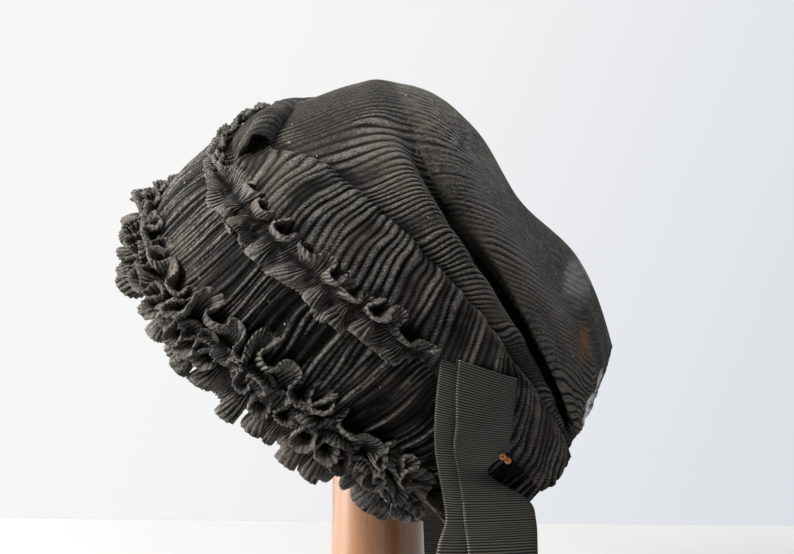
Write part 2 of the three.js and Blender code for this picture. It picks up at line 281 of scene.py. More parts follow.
# %% The bonnet's cloth
# depth, roll in degrees, then top (y, z), shoulder, side and ear (x, y, z) of the left half
ARCHES = (
    (0, 20, (-113, 41), (58, -92, 26), (83, -33, -19), (76, 31, -72)),
    (33, 20, (-95, 67), (64, -76, 49), (88, -8, 9), (78, 60, -77)),
    (64, 20, (-74, 83), (60, -51, 75), (86, 13, 29), (68, 81, -68)),
    (89, 19, (-54, 97), (60, -29, 82), (83, 37, 36), (64, 88, -58)),
    (114, 17, (-32, 104), (60, 1, 80), (76, 56, 26), (58, 92, -54)),
    (132, 14, (-11, 111), (57, 21, 81), (71, 65, 20), (54, 95, -53)),
    (156, 12, (10, 112), (49, 35, 66), (56, 75, -1), (50, 97, -52)),
    (165, 11, (24, 107), (50, 43, 66), (61, 80, 2), (49, 99, -50)),
    (182, 9, (45, 90), (42, 57, 58), (56, 87, -2), (47, 101, -48)),
    (217, 7, (72, 49), (28, 83, 25), (43, 99, -10), (45, 102, -46)),
    (240, 6, (98, 24), (23, 101, 8), (37, 105, -19), (44, 104, -44)),
    (272, 5, (117, -22), (20, 113, -29), (34, 108, -37), (43, 105, -41)),
)
PLACES = np.array((-1, -0.613, -0.286, 0, 0.286, 0.613, 1))
DEPTHS = np.array([arch[0] for arch in ARCHES], float)
SEAM_DEPTH = 64
HEM_DEPTH = 272
PLACE_STEP = 0.004
DEPTH_STEP = 1.0


def slopes_of(knots, points):
    """The slope at each knot: the parabola's through its neighbours, and a free end at both ends."""
    gaps = np.diff(knots).reshape(-1, *[1] * (points.ndim - 1))
    steps = np.diff(points, axis=0) / gaps
    inner = (steps[:-1] * gaps[1:] + steps[1:] * gaps[:-1]) / (gaps[:-1] + gaps[1:])
    first = 1.5 * steps[0] - 0.5 * inner[0]
    last = 1.5 * steps[-1] - 0.5 * inner[-1]
    return np.concatenate([first[None], inner, last[None]])


def hermite(knots, at):
    """Where each value lies between two knots, and the four weights of a smooth curve there."""
    low = np.clip(np.searchsorted(knots, at, side="right") - 1, 0, len(knots) - 2)
    width = knots[low + 1] - knots[low]
    part = (at - knots[low]) / width
    near = 2 * part**3 - 3 * part**2 + 1
    far = 1 - near
    near_slope = (part**3 - 2 * part**2 + part) * width
    far_slope = (part**3 - part**2) * width
    return low, [weight[..., None] for weight in (near, far, near_slope, far_slope)]


def arch_controls():
    """The points of every arch, both halves, rolled to the wearer's left."""
    rows = []
    for _, tilt, top, *left in ARCHES:
        mirrored = [(-x, y, z) for x, y, z in reversed(left)]
        points = np.array([*mirrored, (0, *top), *left], float)
        roll = math.radians(tilt)
        x, z = points[:, 0].copy(), points[:, 2].copy()
        points[:, 0] = x * math.cos(roll) + z * math.sin(roll)
        points[:, 2] = z * math.cos(roll) - x * math.sin(roll)
        rows.append(points)
    return np.array(rows).transpose(1, 0, 2)


ARCH_POINTS = arch_controls()
ARCH_SLOPES = slopes_of(PLACES, ARCH_POINTS)


def cloth_points(places, depths):
    """Points of the cloth. places and depths are arrays of one shape."""
    flat_places = places.ravel()
    low, (near, far, near_slope, far_slope) = hermite(PLACES, flat_places)
    lanes = (
        near[..., None] * ARCH_POINTS[low]
        + far[..., None] * ARCH_POINTS[low + 1]
        + near_slope[..., None] * ARCH_SLOPES[low]
        + far_slope[..., None] * ARCH_SLOPES[low + 1]
    )
    lane_slopes = slopes_of(DEPTHS, lanes.transpose(1, 0, 2)).transpose(1, 0, 2)
    row, (near, far, near_slope, far_slope) = hermite(DEPTHS, depths.ravel())
    each = np.arange(len(flat_places))
    points = (
        near * lanes[each, row]
        + far * lanes[each, row + 1]
        + near_slope * lane_slopes[each, row]
        + far_slope * lane_slopes[each, row + 1]
    )
    return points.reshape(*places.shape, 3)


def unit(vectors):
    return vectors / np.maximum(np.linalg.norm(vectors, axis=-1, keepdims=True), 1e-9)


def cloth(places, depths):
    """Points of the cloth with the directions along the arch, back over the cloth and out of it."""
    along = unit(cloth_points(places + PLACE_STEP, depths) - cloth_points(places - PLACE_STEP, depths))
    back = unit(cloth_points(places, depths + DEPTH_STEP) - cloth_points(places, depths - DEPTH_STEP))
    return cloth_points(places, depths), along, back, unit(np.cross(along, back))


SEAM_STEPS = 400
seam_line = cloth_points(np.linspace(-1, 1, SEAM_STEPS), np.full(SEAM_STEPS, float(SEAM_DEPTH)))
print("seam length", round(float(np.linalg.norm(np.diff(seam_line, axis=0), axis=1).sum())), "mm")

# %% [markdown]
# ## Folds from noise
#
# Gathers are not even waves: they merge, split and lean. Smooth noise shifts the waves, so that each
# fold has its own width. The random numbers come from fixed seeds, so every run gives the same cloth.

# %% Folds from noise
NOISE_SIZE = 256
RING_WELD = 1e-6


def noise_field(across, along, seed):
    """Smooth random values from -1 to 1, one random value at every whole number."""
    values = np.random.default_rng(seed).uniform(-1, 1, (NOISE_SIZE, NOISE_SIZE))
    column, row = np.floor(across).astype(int), np.floor(along).astype(int)
    part, part_along = across - column, along - row
    part = part * part * (3 - 2 * part)
    part_along = part_along * part_along * (3 - 2 * part_along)
    pick = lambda right, up: values[(column + right) % NOISE_SIZE, (row + up) % NOISE_SIZE]
    near = pick(0, 0) * (1 - part) + pick(1, 0) * part
    far = pick(0, 1) * (1 - part) + pick(1, 1) * part
    return near * (1 - part_along) + far * part_along


def rise(low, high, at):
    """0 below low, 1 above high, smooth between them."""
    share = np.clip((at - low) / (high - low), 0, 1)
    return share * share * (3 - 2 * share)


def sharp_crest(phase, width):
    """1 on thin crests at whole numbers, 0 in wide hollows."""
    return np.exp(-((np.sin(np.pi * phase) / width) ** 2))


def round_rib(phase, power):
    """Rounded ribs with a narrow groove at each whole number."""
    return np.abs(np.sin(np.pi * phase)) ** power


def sheet_grid(columns, rows, crowding=1):
    """Places along the arch, and shares from a sheet's front to its back, crowded to the front."""
    shares = np.linspace(0, 1, rows) ** crowding
    return np.meshgrid(np.linspace(-1, 1, columns), shares, indexing="ij")


def grid_normals(points):
    """Normals of a sheet given as (columns, rows, 3)."""
    return unit(np.cross(np.gradient(points, axis=0), np.gradient(points, axis=1)))


def close_ring():
    """Joins the first and last row of the active sheet, and fills its two ends."""
    bpy.ops.object.mode_set(mode="EDIT")
    bpy.ops.mesh.select_all(action="SELECT")
    bpy.ops.mesh.remove_doubles(threshold=RING_WELD)
    bpy.ops.mesh.select_all(action="SELECT")
    bpy.ops.mesh.fill_holes(sides=0)
    bpy.ops.object.mode_set(mode="OBJECT")


def cut_out(piece, cells):
    """Deletes the marked cells of a new sheet's grid."""
    bpy.ops.object.mode_set(mode="EDIT")
    bpy.ops.mesh.select_mode(type="FACE")
    bpy.ops.mesh.select_all(action="DESELECT")
    bpy.ops.object.mode_set(mode="OBJECT")
    piece.data.polygons.foreach_set("select", cells.T.ravel())
    bpy.ops.object.mode_set(mode="EDIT")
    bpy.ops.mesh.delete(type="FACE")
    bpy.ops.mesh.select_mode(type="VERT")
    bpy.ops.object.mode_set(mode="OBJECT")


def sheet_piece(name, points, wall, finish, cut=None, **values):
    """A cloth sheet from a grid of points in millimetres, with a wall on its inner side. Without a
    wall, the rows go all the way round it. Each further value is kept on the mesh for the finish."""
    columns, rows = points.shape[:2]
    bpy.ops.object.select_all(action="DESELECT")
    bpy.ops.mesh.primitive_grid_add(x_subdivisions=columns - 1, y_subdivisions=rows - 1, size=2)
    piece = bpy.context.object
    piece.name = name
    placed = points.transpose(1, 0, 2).reshape(-1, 3) * MM + np.array(BONNET_ORIGIN)
    piece.data.vertices.foreach_set("co", placed.ravel())
    for key, value in values.items():
        kept = piece.data.attributes.new(key, "FLOAT", "POINT")
        kept.data.foreach_set("value", np.clip(value, 0, 1).T.ravel())
    piece.data.update()
    bpy.ops.object.shade_smooth()
    if cut is not None:
        cut_out(piece, cut)
    if wall:
        thickness = piece.modifiers.new("wall", "SOLIDIFY")
        thickness.thickness = wall * MM
        thickness.offset = -1
        bpy.ops.object.modifier_apply(modifier=thickness.name)
    else:
        close_ring()
    piece.data.materials.append(finish)
    area = sum(face.area for face in piece.data.polygons) / 2
    triangles = sum(len(face.vertices) - 2 for face in piece.data.polygons)
    print(f"{name}: {triangles} triangles, {area:.4f} m2 of cloth")
    return piece


def hand_over(piece, slot, *nodes):
    """Gives a piece its body and hides the solids that it takes the place of. The slot is not used."""
    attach(piece, "root")
    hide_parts(*nodes)


print("fold helpers ready")

# %% [markdown]
# ## Brim
#
# The brim is a strip of crepe, about a third longer than the seam, drawn up on threads. Its gathers
# run from the front frill to the seam. Thin crests catch the light and are also painted lighter as
# painted highlight, with wide dark hollows between them that are deepest low on the side. A cloth
# simulation could gather it, but the crests have to run as they do in the picture.

# %% Brim
BRIM_WALL = 0.9
BRIM_COLUMNS = 1360
BRIM_ROWS = 34
BRIM_FOLDS = 200
BRIM_FRONT = -5
BRIM_BACK = 80
BRIM_SINK = 0.9
BRIM_TUCK = 1.2
BRIM_LEAN = 0.7


def brim_piece():
    places, share = sheet_grid(BRIM_COLUMNS, BRIM_ROWS)
    depths = BRIM_FRONT + share * (BRIM_BACK - BRIM_FRONT)
    point, along, _, out = cloth(places, depths)
    drift = (
        1.5 * noise_field(places * 9, share * 1.5, 3)
        + 0.8 * noise_field(places * 26, share * 2.4, 4)
        + 0.25 * noise_field(places * 70, share * 5, 7)
    )
    phase = places * BRIM_FOLDS / 2 + drift
    vary = 0.35 + 0.65 * rise(-0.6, 0.4, noise_field(places * 55, share * 2.2, 8))
    fine = sharp_crest(phase, 0.5) * vary
    broad = sharp_crest(phase * 0.37 + 0.6 * noise_field(places * 17, share * 2, 5), 0.5)
    swell = noise_field(places * 16, share * 1.2, 6)
    slack = rise(0, 0.25, share) * (1 - rise(0.62, 0.82, share))
    low = rise(0.1, 0.7, np.abs(places))
    fine_height = 0.6 + 1.3 * slack
    broad_height = 0.7 + 1.6 * low
    swell_height = 0.5 + 1.3 * low
    height = fine_height * fine + slack * (broad_height * broad + swell_height * swell)
    under = BRIM_TUCK * rise(0.82, 0.92, share)
    lean = BRIM_LEAN * slack * np.sin(2 * np.pi * phase)
    moved = point + (height - BRIM_SINK - under)[..., None] * out + lean[..., None] * along
    # Painted highlight on the fold crests and painted shade in the hollows, carried by crest.
    crest = 0.75 * fine + 0.22 * broad * (0.4 + 0.6 * fine) + 0.12 * swell
    return sheet_piece("brim_cloth", moved, BRIM_WALL, CREPE, crest=crest)


brim = brim_piece()
hand_over(brim, "crepe", "brim")

# %% [markdown]
# ## Band
#
# Behind the seam a band of finely pleated crepe is turned back over the crown. Its ribs sweep up towards
# the top as they near the back edge, and end there in rounded steps. The grid's columns lean with the
# ribs, so that no rib is cut into teeth by the grid. At the top the band rolls into a tube. Its mouth is
# open like a horn on the near side, so the cells between the tube and the flat band are cut out there.

# %% Band
BAND_WALL = 0.9
BAND_RIBS = 128
BAND_COLUMNS = BAND_RIBS * 12
BAND_ROWS = 26
BAND_SLANT = 0.09
SLANT_TURN = 0.08
BAND_SWEEP = 0.07
SWEEP_FULL = 0.5
SWEEP_FADE = 0.75
BAND_LIFT = 3.6
SEAM_GAP = 0.5
EDGE_STEP = 2.4
EDGE_TURN = 2.8
# The depth of the band's back edge at some places along the arch.
EDGE_PLACES = (-1, -0.3, 0.1, 0.14, 0.17, 0.2, 0.3, 0.38, 0.48, 0.55, 0.62, 0.72, 0.83, 0.94, 1)
EDGE_DEPTHS = (116, 112, 92, 93, 104, 109, 113, 115, 114, 111, 109, 107, 116, 123, 125)
TUBE_RADIUS = 6.2
# How far the tube's middle lies behind the seam and above the cloth, at some places along the arch.
TUBE_PLACES = (-0.42, -0.2, -0.1, 0, 0.06, 0.115)
TUBE_BACK = (18, 24, 30, 33, 28, 19)
TUBE_RISE = (-9, -11, -8, -3, 1.5, 2.2)
TUBE_START = TUBE_PLACES[0]
TUBE_END = TUBE_PLACES[-1]
TUBE_GROWTH = 0.1
TUBE_FOOT = SEAM_DEPTH + 1.0
TUBE_FROM = -140
TUBE_TURN = 320
MOUTH_WIDTH = 0.03
MOUTH_DIP = 3.4
MOUTH_FLARE = 0.18
MOUTH_BLEND = 0.06
MOUTH_SHARE = 0.5
NO_BLEND = 1e-4


def band_piece():
    column, share = sheet_grid(BAND_COLUMNS, BAND_ROWS)
    slanted = column + BAND_SLANT * share * np.tanh(column / SLANT_TURN)
    ear = np.abs(column)
    swept = rise(TUBE_END, SWEEP_FULL, ear) * (1 - rise(SWEEP_FADE, 1, ear))
    places = column - BAND_SWEEP * share**2 * swept * np.sign(column)
    wander = (
        0.5 * noise_field(slanted * 24, share * 1.2, 11)
        + 0.25 * noise_field(slanted * 60, share * 3, 12)
    )
    phase = slanted * BAND_RIBS / 2 + wander
    tall = 0.55 + 0.45 * rise(-0.7, 0.3, noise_field(slanted * 48, share * 1.5, 14))
    rib = round_rib(phase, 0.6) * tall * (0.8 + 0.2 * round_rib(2 * phase, 0.8))
    edge = np.interp(places, EDGE_PLACES, EDGE_DEPTHS) + EDGE_STEP * (rib - 0.5)
    flat_depth = SEAM_DEPTH + SEAM_GAP + share * (edge - SEAM_DEPTH - SEAM_GAP)
    point, _, _, out = cloth(places, flat_depth)
    turn_under = rise(0.9, 1, share) ** 2 * EDGE_TURN
    full = rise(0, 0.25, share)
    at_mouth = np.exp(-(((places - TUBE_END) / MOUTH_WIDTH) ** 2))
    dip = MOUTH_DIP * at_mouth * rise(0.4, 0.7, share)
    height = BAND_LIFT * full + (0.4 + 1.6 * full) * rib - turn_under - dip
    flat = point + height[..., None] * out
    foot, _, foot_back, foot_out = cloth(places, np.full_like(places, TUBE_FOOT))
    angle = np.radians(TUBE_FROM + TUBE_TURN * share)
    flare = 1 + MOUTH_FLARE * at_mouth
    radius = (TUBE_RADIUS + 0.2 * rib) * flare
    aside = np.interp(places, TUBE_PLACES, TUBE_BACK) + radius * np.sin(angle)
    above = np.interp(places, TUBE_PLACES, TUBE_RISE) + radius * np.cos(angle)
    tube = foot + aside[..., None] * foot_back + above[..., None] * foot_out
    blend = MOUTH_BLEND * (1 - rise(0.3, MOUTH_SHARE, share)) + NO_BLEND
    closing = np.clip((places - TUBE_END) / blend + 0.5, 0, 1)
    rolled = rise(TUBE_START, TUBE_START + TUBE_GROWTH, places) * (1 - rise(0, 1, closing))
    moved = flat * (1 - rolled[..., None]) + tube * rolled[..., None]
    # Painted highlight on the rib crests, brighter towards the back edge, and an extra painted highlight
    # on the rib tips at the edge.
    crest = rib * (0.8 + 0.2 * noise_field(places * 40, share * 6, 13)) * (1 + 0.25 * share)
    crest = crest + 0.3 * rise(0.84, 0.95, share) * rib
    crest = crest + 0.5 * rolled * (0.5 - crest)
    last_of_tube = (places[:-1, :-1] <= TUBE_END) & (places[1:, 1:] > TUBE_END)
    mouth = last_of_tube & (share[:-1, :-1] >= MOUTH_SHARE)
    return sheet_piece("band_cloth", moved, BAND_WALL, CREPE, cut=mouth, crest=crest)


band = band_piece()
hand_over(band, "crepe", "band")

# %% [markdown]
# ## Crown and flap
#
# The crown is one soft puff with low, wavy ribs that run back from the band and on over the top. On each
# side a dark groove lies behind the crown's ridge, and the cloth after it hangs as a loose flap with a
# raw hem. Low on the sides the flap's front edge is rolled. One grid would be stretched thin by so sharp
# a groove, so two sheets are made that meet down in it.

# %% Crown
CROWN_WALL = 0.8
CROWN_COLUMNS = 1240
CROWN_ROWS = 34
CROWN_RIBS = 176
CROWN_FRONT = 72
GROOVE_DEPTH = 157
CROWN_BACK = GROOVE_DEPTH + 3
CROWN_RIB_HEIGHT = 0.9
GROOVE_SINK = 12
JOIN_SINK = 0.5
RIDGE_PLACE = -0.03
RIDGE_WIDTH = 0.15
PAINTED_BAND_EDGE_SHADOW = 0.4


def groove_side(places):
    """How deep the groove is: nothing at the top and at the ears, full on the sides."""
    ear = np.abs(places)
    return rise(0.12, 0.5, ear) * (1 - rise(0.86, 0.99, ear))


def top_join(places):
    """1 over the top, where crown and flap are one smooth cloth, and 0 on the sides."""
    return 1 - rise(0.12, 0.42, np.abs(places))


def crown_phase(places, depths):
    """Counts the crown's ribs. They run on over the top into the flap."""
    share = (depths - CROWN_FRONT) / (CROWN_BACK - CROWN_FRONT)
    wander = (
        2.2 * noise_field(places * 9, share * 2.2, 21)
        + 0.5 * noise_field(places * 34, share * 4, 22)
    )
    return places * CROWN_RIBS / 2 + wander


def crown_piece():
    places, share = sheet_grid(CROWN_COLUMNS, CROWN_ROWS)
    depths = CROWN_FRONT + share * (CROWN_BACK - CROWN_FRONT)
    point, _, _, out = cloth(places, depths)
    rib = round_rib(crown_phase(places, depths), 0.8)
    strength = 0.2 + 0.8 * rise(-0.5, 0.5, noise_field(places * 22, share * 4, 23))
    side = groove_side(places)
    sink = (JOIN_SINK + GROOVE_SINK * side) * rise(GROOVE_DEPTH - 17, GROOVE_DEPTH - 1, depths) ** 1.2
    near_groove = rise(GROOVE_DEPTH - 25, GROOVE_DEPTH - 4, depths)
    strength = strength * (1 - 0.5 * top_join(places) * near_groove)
    strength = strength * (1 - 0.5 * np.exp(-(((places - RIDGE_PLACE) / RIDGE_WIDTH) ** 2)))
    height = CROWN_RIB_HEIGHT * strength * rib - sink
    moved = point + height[..., None] * out
    # Painted highlight on the rib crests; painted shade darkens the cloth where it sinks into the
    # groove.
    crest = (0.49 + 1.3 * strength * (rib - 0.55)) * (1 - 0.08 * sink)
    behind_band = depths - np.interp(places, EDGE_PLACES, EDGE_DEPTHS)
    # Painted shadow: the crown is painted darker just behind the band's edge.
    crest = crest * (1 - PAINTED_BAND_EDGE_SHADOW * (1 - rise(1, 9, behind_band)))
    none = np.zeros_like(crest)
    return sheet_piece(
        "crown_cloth", moved, CROWN_WALL, FADED_CREPE, crest=crest, sheer=none, stain=none
    )


crown = crown_piece()
hand_over(crown, "faded_crepe", "crown")

# %% Flap
FLAP_COLUMNS = 430
FLAP_ROWS = 84
FLAP_CROWDING = 1.1
FLAP_RIB_PITCH = 2.9
FLAP_RIB_FALL = math.radians(8)
FLAP_RIB_ROUND = 0.65
FLAP_TOP_ROUND = 6
FLAP_RIB_HEIGHT = 0.85
LIP_WIDTH = 5
LIP_HEIGHT = 1.6
LIP_FORWARD = 1.5
TUCK_DEPTH = 5
VALLEY_DEPTH = 4.5
HEM_STRIP = 5.5
HEM_FADE = 2
EAR_STRIP_FROM = 172
EAR_STRIP_FULL = 195
PICOTS = 150
PICOT_LENGTH = 0.8
# The middle and the size of the sheer patch and of the stain, in y and z.
SHEER_MIDDLE = (98, 11)
SHEER_SIZE = (9, 12)
SHEER_STRIPE_PITCH = 2.8
SHEER_STRIPE_LEAN = 0.6
STAIN_MIDDLE = (101, -14)
STAIN_SIZE = (2.8, 6.5)


def spot_at(points, middle, size, wider=1.0):
    """1 in the middle of a spot, fading to 0 outside it."""
    off_y = (points[..., 1] - middle[0]) / (size[0] * wider)
    off_z = (points[..., 2] - middle[1]) / (size[1] * wider)
    return np.exp(-(off_y**2) - off_z**2)


def flap_wear(point, moved, places, depths, wander):
    """Where the flap is sheer, along the hem and in a worn patch, and where it is stained. The sheer
    parts are also painted grey as light shining through them.
    """
    ear = np.abs(places)
    near_side = places > 0
    hem = cloth_points(places, np.full_like(places, HEM_DEPTH))
    ear_end = cloth_points(np.where(near_side, 1.0, -1.0), depths)
    to_hem = np.linalg.norm(point - hem, axis=-1)
    to_ear = np.linalg.norm(point - ear_end, axis=-1)
    hem_strip = (1 - rise(HEM_STRIP - HEM_FADE, HEM_STRIP, to_hem)) * rise(0.2, 0.45, ear)
    ear_strip = 1 - rise(HEM_STRIP - HEM_FADE, HEM_STRIP, to_ear)
    ear_strip = ear_strip * rise(EAR_STRIP_FROM, EAR_STRIP_FULL, depths)
    wider = 1 + 0.5 * (1 - rise(-0.15, 0.1, places))
    frayed = spot_at(moved, SHEER_MIDDLE, SHEER_SIZE, wider)
    frayed = frayed + 0.12 * noise_field(places * 14, depths / 7, 34)
    slope = moved[..., 2] + SHEER_STRIPE_LEAN * moved[..., 1]
    stripe = round_rib(slope / SHEER_STRIPE_PITCH + 0.4 * wander, 0.9)
    patch = rise(0.28, 0.6, frayed) * np.where(near_side, 0.2 + 0.8 * stripe, 0.6)
    sheer = np.maximum(0.75 * np.maximum(hem_strip, ear_strip), patch)
    return sheer, spot_at(moved, STAIN_MIDDLE, STAIN_SIZE) * near_side


def flap_piece():
    places, share = sheet_grid(FLAP_COLUMNS, FLAP_ROWS, crowding=FLAP_CROWDING)
    picot = PICOT_LENGTH * np.sin(np.pi * PICOTS * places) * rise(0.97, 1, share)
    depths = GROOVE_DEPTH - 1 + share * (HEM_DEPTH - GROOVE_DEPTH + 1) + picot
    point, _, back, out = cloth(places, depths)
    side = groove_side(places)
    low = rise(0.4, 0.62, np.abs(places))
    edge = GROOVE_DEPTH + 4 + 4 * low
    lip = np.exp(-(((depths - edge) / LIP_WIDTH) ** 2)) * side * low
    tuck = (JOIN_SINK + TUCK_DEPTH * side) * (1 - rise(edge - LIP_WIDTH, edge + 1, depths))
    valley = side * (1 - low) * (1 - rise(GROOVE_DEPTH, GROOVE_DEPTH + 26, depths))
    height = point[..., 2] * math.cos(FLAP_RIB_FALL) + point[..., 1] * math.sin(FLAP_RIB_FALL)
    height = height - FLAP_RIB_ROUND * np.sqrt(point[..., 0] ** 2 + FLAP_TOP_ROUND**2)
    wander = (
        1.5 * noise_field(places * 6, depths / 45, 31)
        + 0.55 * noise_field(places * 14, depths / 16, 32)
    )
    fall = np.sign(places) * ((height[FLAP_COLUMNS // 2, 0] - height) / FLAP_RIB_PITCH + wander)
    over_top = top_join(places)
    rib = round_rib(over_top * crown_phase(places, depths) + (1 - over_top) * fall, 0.8)
    strength = 0.3 + 0.7 * rise(-0.6, 0.5, noise_field(places * 9, depths / 30, 33))
    front_part = 1 - rise(GROOVE_DEPTH + 14, GROOVE_DEPTH + 44, depths)
    strength = strength * np.maximum(front_part, 0.5 + 0.4 * low)
    past_groove = rise(GROOVE_DEPTH + 1, GROOVE_DEPTH + 16, depths)
    strength = strength * (1 - 0.5 * over_top * (1 - past_groove))
    lifted = FLAP_RIB_HEIGHT * strength * rib + LIP_HEIGHT * lip - tuck - VALLEY_DEPTH * valley
    moved = point + lifted[..., None] * out - (LIP_FORWARD * lip)[..., None] * back
    # Painted highlight on the rib crests; painted shade darkens the valley behind the groove.
    crest = (0.54 + 0.12 * low + 1.1 * strength * (rib - 0.55)) * (1 - 0.5 * valley)
    sheer, stain = flap_wear(point, moved, places, depths, wander)
    return sheet_piece(
        "flap_cloth", moved, CROWN_WALL, FADED_CREPE, crest=crest, sheer=sheer, stain=stain
    )


flap = flap_piece()
hand_over(flap, "faded_crepe", "crown")

# %% [markdown]
# ## Frills
#
# A frill is a narrow strip of pleated crepe, sewn down along its middle and crowded, so that its free
# edges swing in loops like a row of small fans. One function makes all the frills, and the face edge has
# two strips side by side. The loops are a sum of two waves: one swings the edge up and down, and one at
# twice the pace closes each loop at its foot. Fine ribs run from the sewn line to the edge. A strip that
# is only pushed up and down would be simpler, but its edge could not curl back over itself.

# %% Frills
FRILL_COLUMNS = 84
FRILL_ROWS = 13
FRILL_LIFT = 1.2
WIDTH_SPREAD = 0.2
LEAN_SPREAD = 14
FRILL_RIB_HEIGHT = 0.55


def frill_piece(name, depth, reach, loops, widths, leans, full, swing, crumple, fine_ribs, plump, seed):
    """widths and leans are for the front and the back half. leans are degrees off the cloth, full is
    the share of the width at the top and on the sides, and plump is the folded strip's thickness."""
    loop = np.linspace(0, loops, loops * FRILL_COLUMNS + 1)
    rows = np.sin(np.linspace(-1, 1, FRILL_ROWS) * np.pi / 2)
    loop_grid, across = np.meshgrid(loop, rows, indexing="ij")
    drift = lambda pace, key: noise_field(loop * pace, np.zeros_like(loop), seed + key)[:, None]
    ends = np.clip(np.minimum(loop, loops - loop), 0, 1)[:, None]
    place = reach * (2 * (loop[:, None] + 0.5 * drift(0.8, 1) * ends) / loops - 1)
    foot, along, back, out = cloth(place, depth + 2.0 * crumple * drift(0.6, 2))
    front = across < 0
    down_side = np.maximum(rise(0.02, 0.28, place), rise(0.35, 0.6, -place))
    fuller = full[0] + (full[1] - full[0]) * down_side
    front_width = widths[0] * (1 + WIDTH_SPREAD * drift(1.1, 3))
    back_width = widths[1] * (1 + WIDTH_SPREAD * drift(1.3, 4))
    width = np.where(front, front_width, back_width) * fuller
    front_lean = leans[0] + LEAN_SPREAD * crumple * drift(1.4, 5)
    back_lean = leans[1] + LEAN_SPREAD * crumple * drift(1.5, 6)
    lean = np.radians(np.where(front, front_lean, back_lean))
    share = np.abs(across)
    forward = np.where(front, -1.0, 1.0)[..., None] * back
    radial = np.cos(lean)[..., None] * forward + np.sin(lean)[..., None] * out
    upright = -np.sin(lean)[..., None] * forward + np.cos(lean)[..., None] * out
    phase = 2 * np.pi * (loop_grid + 0.3 * drift(1.0, 7)) + np.where(front, 0, 1.7 + drift(0.5, 8))
    uneven = 1 + 0.5 * drift(0.9, 9)
    closing = -0.4 * swing * uneven * share * np.sin(2 * phase)
    sideways = closing + 3 * crumple * share**2 * drift(1.7, 14)
    points = (
        foot
        + FRILL_LIFT * fuller[..., None] * out
        + (share * width)[..., None] * radial
        + (swing * fuller * uneven * share**1.2 * np.sin(phase))[..., None] * upright
        + sideways[..., None] * along
    )
    lumps = [noise_field(loop_grid * 3.1, across * 2.2 + 7, seed + key) for key in (10, 11, 12)]
    points = points + crumple * share[..., None] * np.stack(lumps, axis=-1)
    rib_wander = 4 * noise_field(loop_grid * 5, across * 2, seed + 13)
    rib = np.sin(2 * np.pi * fine_ribs * loop_grid + rib_wander)
    rib = rib * (0.5 + 0.5 * rise(-0.5, 0.4, noise_field(loop_grid * 7, across * 3, seed + 15)))
    pucker = noise_field(loop_grid * 11, across * 4, seed + 16)
    points = points + (0.4 * share**6 * rib)[..., None] * radial
    normals = grid_normals(points)
    relief = (0.3 + 0.7 * share) * (FRILL_RIB_HEIGHT * rib + 0.4 * crumple * pucker)
    ribbed = points + relief[..., None] * normals
    rounding = np.sqrt(np.clip(1 - np.clip((share - 0.55) / 0.45, 0, 1) ** 2, 0.004, 1))
    half = plump / 2 * (0.25 + 0.75 * rise(0.05, 0.7, share)) * rounding
    upper = ribbed + half[..., None] * normals
    under = ribbed - half[..., None] * normals
    ring = np.concatenate([upper, under[:, ::-1], upper[:, :1]], axis=1)
    # Painted highlight on the ribs and towards the free edge, painted shade near the sewn line.
    crest = 0.64 + 0.55 * rib + 0.22 * pucker + 0.32 * share - 0.5 * (1 - share) ** 2
    crest_ring = np.concatenate([crest, crest[:, ::-1], crest[:, :1]], axis=1)
    return sheet_piece(name, ring, 0, FRILL_CREPE, crest=crest_ring)


front_frill = frill_piece(
    "front_frill_cloth", depth=0, reach=0.97, loops=36, widths=(14, 12), leans=(14, 46),
    full=(0.95, 1.1), swing=7, crumple=1.1, fine_ribs=17, plump=2.6, seed=100,
)
hand_over(front_frill, "crepe", "front_frill")
front_frill_back = frill_piece(
    "front_frill_back", depth=10, reach=0.95, loops=33, widths=(9, 14), leans=(66, 24),
    full=(0.6, 1.1), swing=7, crumple=1.3, fine_ribs=17, plump=2.6, seed=300,
)
hand_over(front_frill_back, "crepe", "front_frill")
mid_frill = frill_piece(
    "mid_frill_cloth", depth=SEAM_DEPTH, reach=0.66, loops=23, widths=(13, 12), leans=(24, 28),
    full=(0.35, 1.0), swing=6.8, crumple=1.4, fine_ribs=16, plump=2.4, seed=220,
)
hand_over(mid_frill, "crepe", "mid_frill")

# %% [markdown]
# ## Ribbon ties
#
# The ties are grosgrain: a flat ribbon with ribs straight across and a corded edge on each side. The
# near tie is folded, so a second strand shows along its front edge, and a pin pinches the wide strand.
# The ribs fan in to the pinch and out again, because each station below gives both edges of the ribbon.

# %% Grosgrain
SILK_HOLLOW = (0.004, 0.0038, 0.0032, 1)
SILK_RIB_HIGHLIGHT = (0.12, 0.115, 0.096, 1)
SILK_DUST = (0.036, 0.032, 0.022, 1)
SILK_STITCH = (0.2, 0.195, 0.18, 1)


def grosgrain_finish():
    start, close = new_finish("grosgrain")
    where = start.node("ShaderNodeTexCoord", output="Object")
    crest = start.node("ShaderNodeAttribute", {"attribute_name": "crest"}, output="Fac")
    edge = start.node("ShaderNodeAttribute", {"attribute_name": "edge"}, output="Fac")
    grain = noise_of(start, where, 2600, 2.0)
    patches = noise_of(start, where, 45, 3.0)
    # Painted highlight on the rib crests and painted shade in the grooves between them.
    ribbed = crest.between(0.2, 1.0) * (0.6 + 0.7 * grain)
    silk = ribbed.blend(SILK_HOLLOW, SILK_RIB_HIGHLIGHT)
    dusty = (patches.between(0.5, 0.75) * 0.4).blend(silk, SILK_DUST)
    stitched = edge * crest.between(0.45, 0.9)
    colour = stitched.blend(dusty, SILK_STITCH)
    bump = start.node("ShaderNodeBump", None, {"Strength": 0.5, "Distance": 0.0002, "Height": grain})
    return close(
        Base_Color=colour, Roughness=0.5 + 0.2 * grain, Normal=bump, Specular_IOR_Level=0.25,
        Sheen_Weight=0.03, Sheen_Roughness=0.4,
    )


GROSGRAIN = grosgrain_finish()
print("finish:", GROSGRAIN.name)

